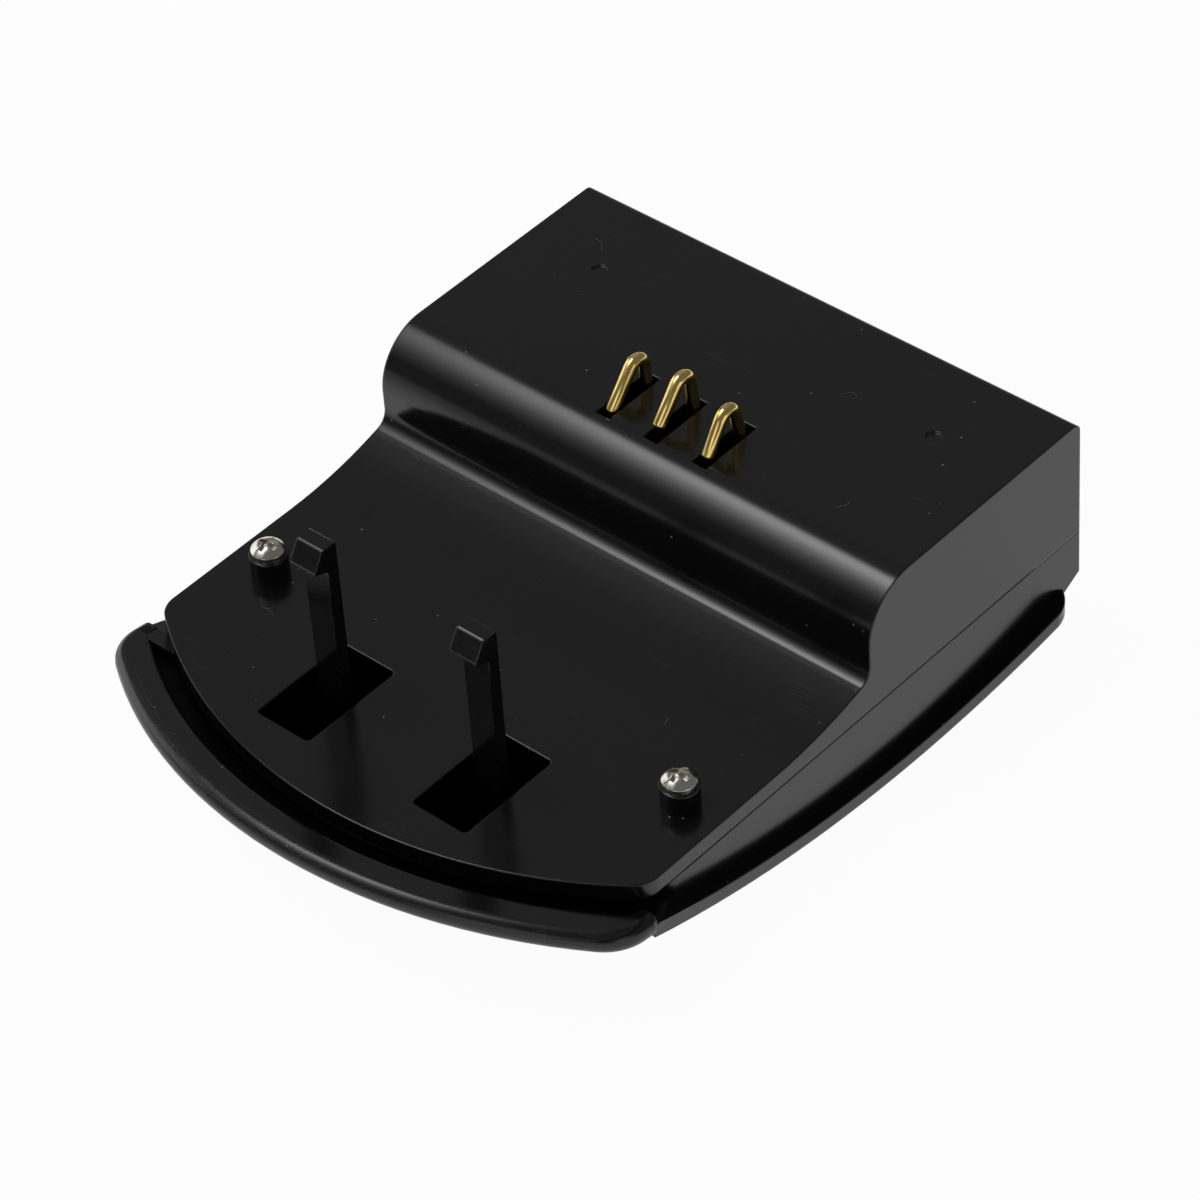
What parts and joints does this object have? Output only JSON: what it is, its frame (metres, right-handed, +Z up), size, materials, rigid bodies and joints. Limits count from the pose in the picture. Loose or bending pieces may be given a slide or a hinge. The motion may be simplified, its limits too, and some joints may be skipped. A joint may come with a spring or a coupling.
{
  "type": "battery charger cradle",
  "caption": "Stepped battery cradle of a camcorder charger with sprung hooks, sprung wire contacts, a curved front rim and an arched flange.",
  "frame": {"origin": "middle of the whole part's bounding box, at the flat underside that it rests on", "axes": "+Z up, +Y towards the raised block at the back, -Y towards the curved rim at the front, +X to the right seen from the front; X = 0 is the symmetry plane"},
  "size_m": [0.066, 0.0811, 0.0311],
  "materials": {
    "shell_black": "black moulded ABS, satin gloss, fine scratches and dust",
    "hook_black": "black acetal, smooth",
    "contact_gold": "thin gold plating on spring wire",
    "nickel": "nickel plated steel",
    "spring_steel": "plain spring steel",
    "carrier_plastic": "natural moulded polyester",
    "board_green": "green solder mask on glass laminate",
    "chip_black": "black moulding compound",
    "capacitor_can": "sleeved aluminium can",
    "lead_sleeve": "soft PVC sleeve"
  },
  "bodies": {
    "cradle": {"upper_shell": "shell_black", "base_shell": "shell_black", "slider_spring_left": "spring_steel", "slider_spring_right": "spring_steel", "contact_pin": "spring_steel", "contact_carrier": "carrier_plastic", "circuit_board": "board_green", "lead_left": "lead_sleeve", "lead_middle": "lead_sleeve", "lead_right": "lead_sleeve", "front_screws": "nickel", "rear_screws": "nickel", "carrier_screws": "nickel", "board_screws": "nickel", "control_chip": "chip_black", "filter_capacitors": "capacitor_can", "chip_resistors": "chip_black", "chip_diode": "chip_black", "output_contacts": "contact_gold"},
    "hooks": {"hook_slider": "hook_black"},
    "left_contact": {"contact_left": "contact_gold"},
    "middle_contact": {"contact_middle": "contact_gold"},
    "right_contact": {"contact_right": "contact_gold"}
  },
  "joints": [
    {"name": "hook_slide", "type": "slide", "parent": "cradle", "child": "hooks", "axis": [0, 1, 0], "range_m": [0, 0.0022], "stiffness_N_per_m": 600, "springref_m": -0.004, "deforming": ["slider_spring_left", "slider_spring_right"]},
    {"name": "left_contact_hinge", "type": "hinge", "parent": "cradle", "child": "left_contact", "pos_m": [-0.0061, 0.033, 0.02], "axis": [1, 0, 0], "range_deg": [0, 6], "stiffness_Nm_per_rad": 0.08, "springref_deg": -2.86, "deforming": ["lead_left"]},
    {"name": "middle_contact_hinge", "type": "hinge", "parent": "cradle", "child": "middle_contact", "pos_m": [0, 0.033, 0.02], "axis": [1, 0, 0], "range_deg": [0, 6], "stiffness_Nm_per_rad": 0.08, "springref_deg": -2.86, "deforming": ["lead_middle"]},
    {"name": "right_contact_hinge", "type": "hinge", "parent": "cradle", "child": "right_contact", "pos_m": [0.0061, 0.033, 0.02], "axis": [1, 0, 0], "range_deg": [0, 6], "stiffness_Nm_per_rad": 0.08, "springref_deg": -2.86, "deforming": ["lead_right"]}
  ]
}
